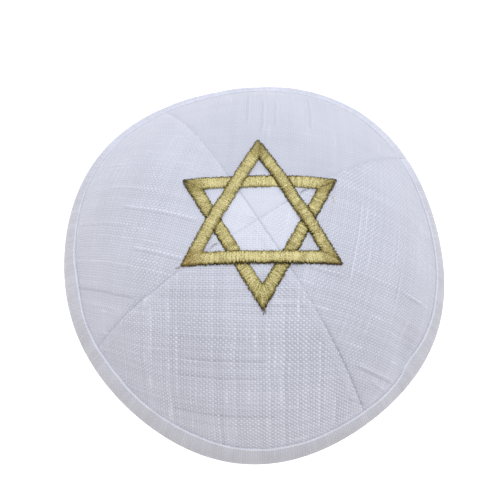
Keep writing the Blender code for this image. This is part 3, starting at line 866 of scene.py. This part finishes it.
def gold_material():
    """Glossy twisted thread, each stitch of its own tone, with painted shade where it dives at its ends and
    along its column's sides.
    """
    material, shade = new_material("gold_satin_stitch")
    place = shade.attribute("stitch")
    tone = place.axis(1)
    across = place.axis(0)
    # Painted shade where the stitches dive at their ends, and along the column's sides.
    ends = 1.0 - (across * (1.0 - across) * 4.0).clamp()
    dark = shade.attribute("dark_ends")
    edges = dark.axis(0) * (across - 0.97).hill(EDGE_REACH) + dark.axis(1) * (across - 0.03).hill(EDGE_REACH)
    spot = shade.spot()
    fleck = shade.cloud(spot, 2600.0, 1.0)
    twist = (across * 60.0 + tone * 40.0).cosine()
    spark = shade.cloud(spot, 5200.0, 1.0)
    # The fine speckle is partly painted glints and dark specks of the glossy thread, and partly its own
    # uneven tone.
    level = tone + 2.2 * (fleck - 0.5) + 1.1 * (spark - 0.5) - 0.45 * ends * ends - edges
    olive = shade.blend(level.step(0.0, 0.5), GOLD_DARK, GOLD_MIDDLE)
    gold = shade.blend(level.step(0.45, 1.50), olive, GOLD_LIGHT)
    red = shade.blend(place.axis(2).clamp(), gold, GOLD_RED)
    normal = shade.bump(twist + fleck, 0.03 * MM, 0.6)
    shade.surface(red, 0.45, normal, {"Metallic": 0.25, "Specular IOR Level": 0.35})
    return material


# A column's tone is partly painted light and shade, set by how its stitches lie to the light; outer_dark and
# inner_dark paint shade along its two sides.
Column = namedtuple("Column", "turn tone outer_dark inner_dark shift bow end_lift")
Dull = namedtuple("Dull", "azimuth darken redness")
Triangle = namedtuple("Triangle", "name azimuth on_top seed columns dull_points")
Look = namedtuple("Look", "tone redness outer_dark inner_dark")

INVERTED = Triangle("star_inverted", -math.pi / 2.0, False, 21, (
    Column(60.0, 0.90, 0.60, 0.30, 0.0, 0.50, 0.10),
    Column(180.0, 1.15, 1.20, 0.05, 0.28, 0.45, 0.45),
    Column(-60.0, 0.94, 0.60, 0.20, 0.22, 0.38, 0.0),
), (
    Dull(-90.0, 0.18, 0.0),
    Dull(30.0, 0.54, 0.1),
    Dull(150.0, 0.50, 0.0),
))
UPRIGHT = Triangle("star_upright", math.pi / 2.0, True, 22, (
    Column(60.0, 1.05, 0.70, 0.10, 0.50, 0.25, 0.40),
    Column(180.0, 1.15, 1.30, 0.60, 0.18, 0.05, 0.0),
    Column(-60.0, 0.92, 1.00, 0.50, 0.10, 0.20, 0.15),
), (
    Dull(90.0, 0.54, 0.1),
    Dull(210.0, 0.30, 0.9),
    Dull(330.0, 0.42, 0.2),
))
CROSSING_DARK = 0.55
SHADOW_REACH = 0.50 * MM
BLUNT_TIP = 0.5 * MM            # the longest stitches stop this far short of the corners
OUTER_RAGGED = (-0.25 * MM, 0.42 * MM)
INNER_RAGGED = (-0.18 * MM, 0.42 * MM)
CLUSTER_LENGTH = 1.6 * MM       # neighbouring stitches are alike over about this length
TIP_START = 0.62                # from this share of half a side on, the points are painted darker as painted shade
GROUND_TRIM = 1.2 * MM          # the padding stops this far inside a triangle's points
GROUND_STEPS = 40
GROUND_LANES = 3
GROUND_SINK = 0.30 * MM
GROUND_UNDER = 0.25 * MM
GROUND_CLEAR = 0.05 * MM
HALF_SIDE = STAR_REACH * math.sqrt(3.0) / 2.0


def column_heading(triangle, column):
    """Directions out of the star and along a column."""
    turn = triangle.azimuth + math.radians(column.turn)
    outward = Vector((math.cos(turn), math.sin(turn)))
    return outward, Vector((-outward.y, outward.x))


def column_pull(column, place):
    """How far the rounded cap has pulled a column out from its straight line, at a place along it."""
    share = place / HALF_SIDE
    end = share * share if share < 0.0 else 0.0
    return (column.shift + column.bow * (1.0 - share * share) + column.end_lift * end) * MM


def corner_reach(triangle, number, end):
    """How far a column's end, +1 or -1, has moved along it to where its corner now is."""
    own = column_pull(triangle.columns[number], end * HALF_SIDE)
    beside = column_pull(triangle.columns[(number + end) % 3], -end * HALF_SIDE)
    return end * (0.5 * own + beside) / math.sin(math.pi / 3.0)


def column_depth(flat, triangle):
    """How far inside the outer sides of a triangle of the star a place lies."""
    depth = STAR_REACH
    for column in triangle.columns:
        outward, along = column_heading(triangle, column)
        pulled = column_pull(column, flat.dot(along))
        depth = min(depth, STAR_REACH / 2.0 + pulled - flat.dot(outward))
    return depth


def crossing_share(flat, other):
    """1 where the other triangle's columns pass, easing to 0 beside them."""
    depth = column_depth(flat, other)
    beside = max(-depth, depth - STAR_COLUMN, 0.0)
    return 1.0 - smooth_step((beside / CROSSING_RAMP - CROSSING_LEVEL) / (1.0 - CROSSING_LEVEL))


def crossing_shadow(flat, other):
    """1 along the sides of the other triangle's columns, where they press into this one."""
    depth = column_depth(flat, other)
    return bell(depth / SHADOW_REACH) + bell((depth - STAR_COLUMN) / SHADOW_REACH)


def fan_inwards(outer):
    """Where along a column's inner side the stitch ends that starts at a place on its outer side."""
    half_inner = HALF_SIDE - STAR_COLUMN * math.sqrt(3.0)
    size = abs(outer)
    if size > FAN_START:
        share = (size - FAN_START) / (HALF_SIDE - FAN_START)
        power = (HALF_SIDE - FAN_START) / (half_inner - FAN_START)
        size = FAN_START + (half_inner - FAN_START) * (1.0 - (1.0 - share) ** power)
    return math.copysign(size, outer)


def cut_rods(mesh, count):
    """A number of small closed rods, all in one place: one is made, and its copies are doubled."""
    rod = mesh.verts.layers.int.new("rod")
    bmesh.ops.create_uvsphere(mesh, u_segments=STITCH_SIDES, v_segments=STITCH_RINGS, radius=1.0)
    made = 1
    while made < count:
        copied = [vert for vert in mesh.verts if vert[rod] < count - made]
        edges = {edge for vert in copied for edge in vert.link_edges}
        faces = {face for vert in copied for face in vert.link_faces}
        new = bmesh.ops.duplicate(mesh, geom=copied + list(edges) + list(faces))
        for vert in new["geom"]:
            if isinstance(vert, bmesh.types.BMVert):
                vert[rod] += made
        made = min(2 * made, count)
    rods = [[] for _ in range(count)]
    for vert in mesh.verts:
        rods[vert[rod]].append(vert)
    return rods


def rod_place(vert):
    """A rod's vertex: its share of the way along the rod, and how far aside and up it is, from -1 to 1."""
    ring = math.hypot(vert.co.x, vert.co.y)
    size = ring ** 0.3 / ring if ring > 1e-4 else 0.0
    return 0.5 + 0.5 * vert.co.z, vert.co.x * size, vert.co.y * size


def lay_stitch(rod, layers, inner, outer, lift, shadow, look):
    """Bend one rod over the padding from the column's inner to its outer side."""
    run = outer - inner
    aside = Vector((-run.y, run.x)).normalized()
    for vert in rod:
        share, side, top = rod_place(vert)
        flat = inner + run * share + aside * (side * STITCH_WIDTH / 2.0)
        height = lift(flat, share) + top * STITCH_HEIGHT / 2.0
        vert[layers[0]] = (share, look.tone - shadow(flat), look.redness)
        vert[layers[1]] = (look.outer_dark, look.inner_dark, 0.0)
        vert.co = (flat.x, flat.y, height)


def embroider_triangle(triangle, other, material):
    """One triangle: a padded ground with mitred corners, and the stitches laid over its three columns."""
    chance = random.Random(triangle.seed)
    climb = CROSSING_PRESS * STAR_LOFT + PIECE_GAP if triangle.on_top else 0.0
    mesh = bmesh.new()
    stitch = mesh.verts.layers.float_vector.new("stitch")
    dark_ends = mesh.verts.layers.float_vector.new("dark_ends")

    def shadow(flat):
        """How much darker a stitch of the lower triangle is beside a crossing."""
        return 0.0 if triangle.on_top else CROSSING_DARK * crossing_shadow(flat, other)

    def ground(flat, share):
        """Height of the padding under a stitch, a share of the way across the column."""
        crossing = crossing_share(flat, other)
        swell = max(0.0, 4.0 * share * (1.0 - share)) ** 0.55
        loft = (STAR_LOFT - STITCH_HEIGHT / 2.0) * swell
        if not triangle.on_top:
            loft *= 1.0 - (1.0 - CROSSING_PRESS) * crossing
        return STAR_SEAT - GROUND_SINK + loft + climb * crossing * (0.35 + 0.65 * swell)

    count = round(2.0 * HALF_SIDE / STITCH_PITCH)
    rods = iter(cut_rods(mesh, 3 * count))
    for order, column in enumerate(triangle.columns):
        outward, along = column_heading(triangle, column)
        reaches = {end: corner_reach(triangle, order, end) for end in (-1, 1)}
        slow = chance.uniform(0.0, 50.0)
        for number in range(count):
            place = -HALF_SIDE + (number + 0.5) * 2.0 * HALF_SIDE / count
            side = STAR_REACH / 2.0 + column_pull(column, place)
            moved = reaches[1 if place > 0.0 else -1] * (place / HALF_SIDE) ** 2
            outer = along * (place + moved) + outward * (side + chance.uniform(*OUTER_RAGGED))
            inner = along * (fan_inwards(place) + moved) + outward * (side - STAR_COLUMN)
            outer -= (outer - inner).normalized() * (BLUNT_TIP * (place / HALF_SIDE) ** 8)
            inner -= outward * chance.uniform(*INNER_RAGGED)
            cluster = noise.noise(Vector((place / CLUSTER_LENGTH, slow, 0.0)))
            tone = column.tone + 0.16 * cluster + chance.uniform(-0.22, 0.22)
            corner = triangle.azimuth + math.radians(column.turn) + math.copysign(math.pi / 3.0, place)
            tip = smooth_step((abs(place) / HALF_SIDE - TIP_START) / (1.0 - TIP_START))
            redness = 0.0
            # The points are painted darker as painted shade, where their stitches turn from the light; some
            # are also reddened.
            for tip_shade in triangle.dull_points:
                if math.cos(corner - math.radians(tip_shade.azimuth)) > 0.9:
                    tone -= tip_shade.darken * tip
                    redness = tip_shade.redness * tip * max(0.0, cluster + 0.5)
            patchy = 1.0 + 0.8 * cluster
            look = Look(tone, redness, column.outer_dark * patchy * chance.uniform(0.6, 1.3),
                        column.inner_dark * patchy * chance.uniform(0.4, 1.5))
            lay_stitch(next(rods), (stitch, dark_ends), inner, outer, ground, shadow, look)

    base = bmesh.ops.create_circle(mesh, cap_ends=True, radius=STAR_REACH - GROUND_TRIM, segments=3)
    bmesh.ops.rotate(mesh, verts=base["verts"], cent=(0.0, 0.0, 0.0),
                     matrix=Matrix.Rotation(triangle.azimuth - math.pi / 2.0, 3, "Z"))
    plate = [face for face in mesh.faces if all(vert in base["verts"] for vert in face.verts)]
    bmesh.ops.inset_region(mesh, faces=plate, thickness=STAR_COLUMN - GROUND_TRIM, use_boundary=True,
                           use_even_offset=True)
    bmesh.ops.delete(mesh, geom=plate, context="FACES")
    sides = [edge for edge in mesh.edges if edge.is_boundary]
    bmesh.ops.subdivide_edges(mesh, edges=sides, cuts=GROUND_STEPS, use_grid_fill=True)
    frame_faces = [face for face in mesh.faces if any(edge.is_boundary for edge in face.edges)]
    across = list({edge for face in frame_faces for edge in face.edges if not edge.is_boundary})
    bmesh.ops.subdivide_edges(mesh, edges=across, cuts=GROUND_LANES, use_grid_fill=True)
    island = set()
    stack = [edge.verts[0] for edge in mesh.edges if edge.is_boundary][:1]
    while stack:
        vert = stack.pop()
        if vert not in island:
            island.add(vert)
            stack.extend(edge.other_vert(vert) for edge in vert.link_edges)
    frame_faces = [face for face in mesh.faces if face.verts[0] in island]
    top = bmesh.ops.extrude_face_region(mesh, geom=frame_faces)
    raised = {item for item in top["geom"] if isinstance(item, bmesh.types.BMVert)}
    for vert in island | raised:
        flat = vert.co.xy
        headings = [column_heading(triangle, column) for column in triangle.columns]
        outermost = max(range(3), key=lambda number: flat.dot(headings[number][0]))
        outward, along = headings[outermost]
        vert.co.xy = flat + outward * column_pull(triangle.columns[outermost], flat.dot(along))
        flat = vert.co.xy
        vert[stitch] = (0.5, 0.10, 0.0)
        if vert in raised:
            share = column_depth(flat, triangle) / STAR_COLUMN
            vert.co.z = ground(flat, 1.0 - share) - GROUND_CLEAR
        else:
            vert.co.z = STAR_SEAT - GROUND_UNDER + climb * crossing_share(flat, other)

    bmesh.ops.translate(mesh, verts=mesh.verts[:], vec=(STAR_ASIDE, 0.0, 0.0))
    lay_on_crown(mesh)
    bmesh.ops.recalc_face_normals(mesh, faces=mesh.faces[:])
    piece = finish_piece(triangle.name + "_stitches", mesh, material, 70.0)
    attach(piece, "root")
    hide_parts(triangle.name)


gold = gold_material()
embroider_triangle(INVERTED, UPRIGHT, gold)
embroider_triangle(UPRIGHT, INVERTED, gold)


# Loose thread tails are left where the embroiderer's thread was cut: a few gold ends stand out from the
# star's points, and grey ends of the thread under the cloth show in two of its small triangles.

TAIL_LIFT = 0.30 * MM           # middle of a tail above the plain cloth
TAIL_ARCH = 0.35 * MM
TAIL_CURL = 0.12
TAIL_GREY = (0.30, 0.29, 0.27, 1.0)

Tail = namedtuple("Tail", "start end width tone")
THREAD_TAILS = (
    Tail((1.2, -34.0), (0.9, -36.2), 0.32 * MM, 0.15),
    Tail((1.5, -34.0), (1.9, -35.8), 0.26 * MM, 0.35),
    Tail((-29.6, -17.5), (-31.5, -17.9), 0.26 * MM, 0.30),
    Tail((28.4, 10.8), (29.3, 7.4), 0.18 * MM, 1.00),
    Tail((16.3, 10.8), (18.9, 12.5), 0.22 * MM, -0.30),
    Tail((-17.9, -10.8), (-15.6, -9.5), 0.22 * MM, -0.30),
)


def tail_material():
    """The star's gold thread, or the dull grey one from under the cloth where the tone is below zero."""
    material, shade = new_material("thread_tail")
    place = shade.attribute("stitch")
    spot = shade.spot()
    fleck = shade.cloud(spot, 3200.0, 2.0)
    twist = (place.axis(0) * 40.0).cosine()
    level = place.axis(1) + 0.4 * (fleck - 0.5) + 0.08 * twist
    gold = shade.blend(level.step(0.0, 1.0), GOLD_DARK, GOLD_LIGHT)
    colour = shade.blend(place.axis(1).step(-0.2, 0.0), TAIL_GREY, gold)
    normal = shade.bump(twist + fleck, 0.03 * MM, 0.6)
    shade.surface(colour, 0.5, normal, {"Specular IOR Level": 0.5})
    return material


def leave_tails(material):
    """Each tail: a thin rod with a slight curl that lies on the cloth."""
    mesh = bmesh.new()
    stitch = mesh.verts.layers.float_vector.new("stitch")
    for rod, tail in zip(cut_rods(mesh, len(THREAD_TAILS)), THREAD_TAILS):
        start = Vector(tail.start) * MM
        run = Vector(tail.end) * MM - start
        aside = Vector((-run.y, run.x)).normalized()
        for vert in rod:
            share, side, top = rod_place(vert)
            curl = TAIL_CURL * run.length * math.sin(3.0 * share)
            flat = start + run * share + aside * (side * tail.width / 2.0 + curl)
            vert[stitch] = (share, tail.tone, 0.0)
            lift = TAIL_LIFT + TAIL_ARCH * share * (1.0 - share)
            vert.co = (flat.x, flat.y, lift + top * tail.width / 2.0)
    lay_on_crown(mesh)
    bmesh.ops.recalc_face_normals(mesh, faces=mesh.faces[:])
    piece = finish_piece("thread_tails", mesh, material, 70.0)
    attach(piece, "root")


leave_tails(tail_material())


# The studio: a plain white floor that the cap rests on, soft light from all round that is stronger
# behind it, and one large soft lamp above that brightens the crown and leaves the near side darker.

FLOOR_DARK = (0.94, 0.94, 0.94, 1.0)
FLOOR_LIGHT = (0.97, 0.97, 0.97, 1.0)
FLOOR_RADIUS = 3.0
FLOOR_GLOW = 0.42               # as if lit from below, so no shadow shows on it
SKY_STRENGTH = 0.78
SKY_FRONT = (0.590, 0.535, 0.490, 1.0)
SKY_BEHIND = (1.330, 1.320, 1.370, 1.0)
LAMP_PLACE = Vector((0.15, 0.20, 1.17))
LAMP_SIZE = 0.7
LAMP_POWER = 5.2
LAMP_COLOUR = (0.86, 1.0, 1.15)


def lay_floor():
    """A wide flat disc that glows a little."""
    mesh = bmesh.new()
    bmesh.ops.create_circle(mesh, cap_ends=True, radius=FLOOR_RADIUS, segments=64)
    material, shade = new_material("white_floor")
    spot = shade.spot()
    grain = shade.cloud(spot, 40.0, 3.0)
    colour = shade.blend(grain, FLOOR_DARK, FLOOR_LIGHT)
    glow = {"Emission Color": (1.0, 1.0, 1.0, 1.0), "Emission Strength": FLOOR_GLOW}
    shade.surface(colour, 0.7, shade.bump(grain, 0.1 * MM, 0.2), glow)
    finish_piece("floor", mesh, material)


lay_floor()

world = bpy.data.worlds.new("studio")
bpy.context.scene.world = world
world.use_nodes = True
sky = Shade(world.node_tree)
toward = sky.add("ShaderNodeTexCoord", {}, {}, "Generated")
glow = sky.blend((toward.axis(1) * 0.5 + 0.5).clamp(), SKY_FRONT, SKY_BEHIND)
world.node_tree.links.new(glow.socket, world.node_tree.nodes["Background"].inputs["Color"])
world.node_tree.nodes["Background"].inputs["Strength"].default_value = SKY_STRENGTH


light = bpy.data.lights.new("lamp_above", "AREA")
light.size = LAMP_SIZE
light.energy = LAMP_POWER
light.color = LAMP_COLOUR
lamp = bpy.data.objects.new("lamp_above", light)
lamp.location = LAMP_PLACE
lamp.rotation_euler = LAMP_PLACE.to_track_quat("Z", "Y").to_euler()
bpy.context.scene.collection.objects.link(lamp)


# The camera stands above and in front, turned as the photograph was taken. Its place and its lens were
# fitted together with the cap, to its outline, its seams and the star's points.

VIEW_ELEVATION = math.radians(71.2186)
VIEW_AZIMUTH = math.radians(-5.2439)
VIEW_ROLL = math.radians(-4.3489)
VIEW_DISTANCE = 288.787 * MM
VIEW_PIXELS = 500.0             # size of the square frame
VIEW_FOCUS = 658.125            # focal length, in the frame's pixels
VIEW_CENTRE = (254.694, 258.134)
SENSOR = 36.0

back = Vector((math.sin(VIEW_AZIMUTH) * math.cos(VIEW_ELEVATION),
               -math.cos(VIEW_AZIMUTH) * math.cos(VIEW_ELEVATION), math.sin(VIEW_ELEVATION)))
level = Vector((math.cos(VIEW_AZIMUTH), math.sin(VIEW_AZIMUTH), 0.0))
upward = back.cross(level)
right = level * math.cos(VIEW_ROLL) - upward * math.sin(VIEW_ROLL)
top = level * math.sin(VIEW_ROLL) + upward * math.cos(VIEW_ROLL)
lens = bpy.data.cameras.new("camera")
lens.sensor_width = SENSOR
lens.lens = VIEW_FOCUS / VIEW_PIXELS * SENSOR
lens.shift_x = 0.5 - VIEW_CENTRE[0] / VIEW_PIXELS
lens.shift_y = VIEW_CENTRE[1] / VIEW_PIXELS - 0.5
lens.clip_start = 0.01
lens.clip_end = 20.0
camera = bpy.data.objects.new("camera", lens)
camera.matrix_world = Matrix((
    (right.x, top.x, back.x, back.x * VIEW_DISTANCE),
    (right.y, top.y, back.y, back.y * VIEW_DISTANCE),
    (right.z, top.z, back.z, back.z * VIEW_DISTANCE),
    (0.0, 0.0, 0.0, 1.0),
))
bpy.context.scene.collection.objects.link(camera)
bpy.context.scene.camera = camera
bpy.context.scene.view_settings.view_transform = "Standard"
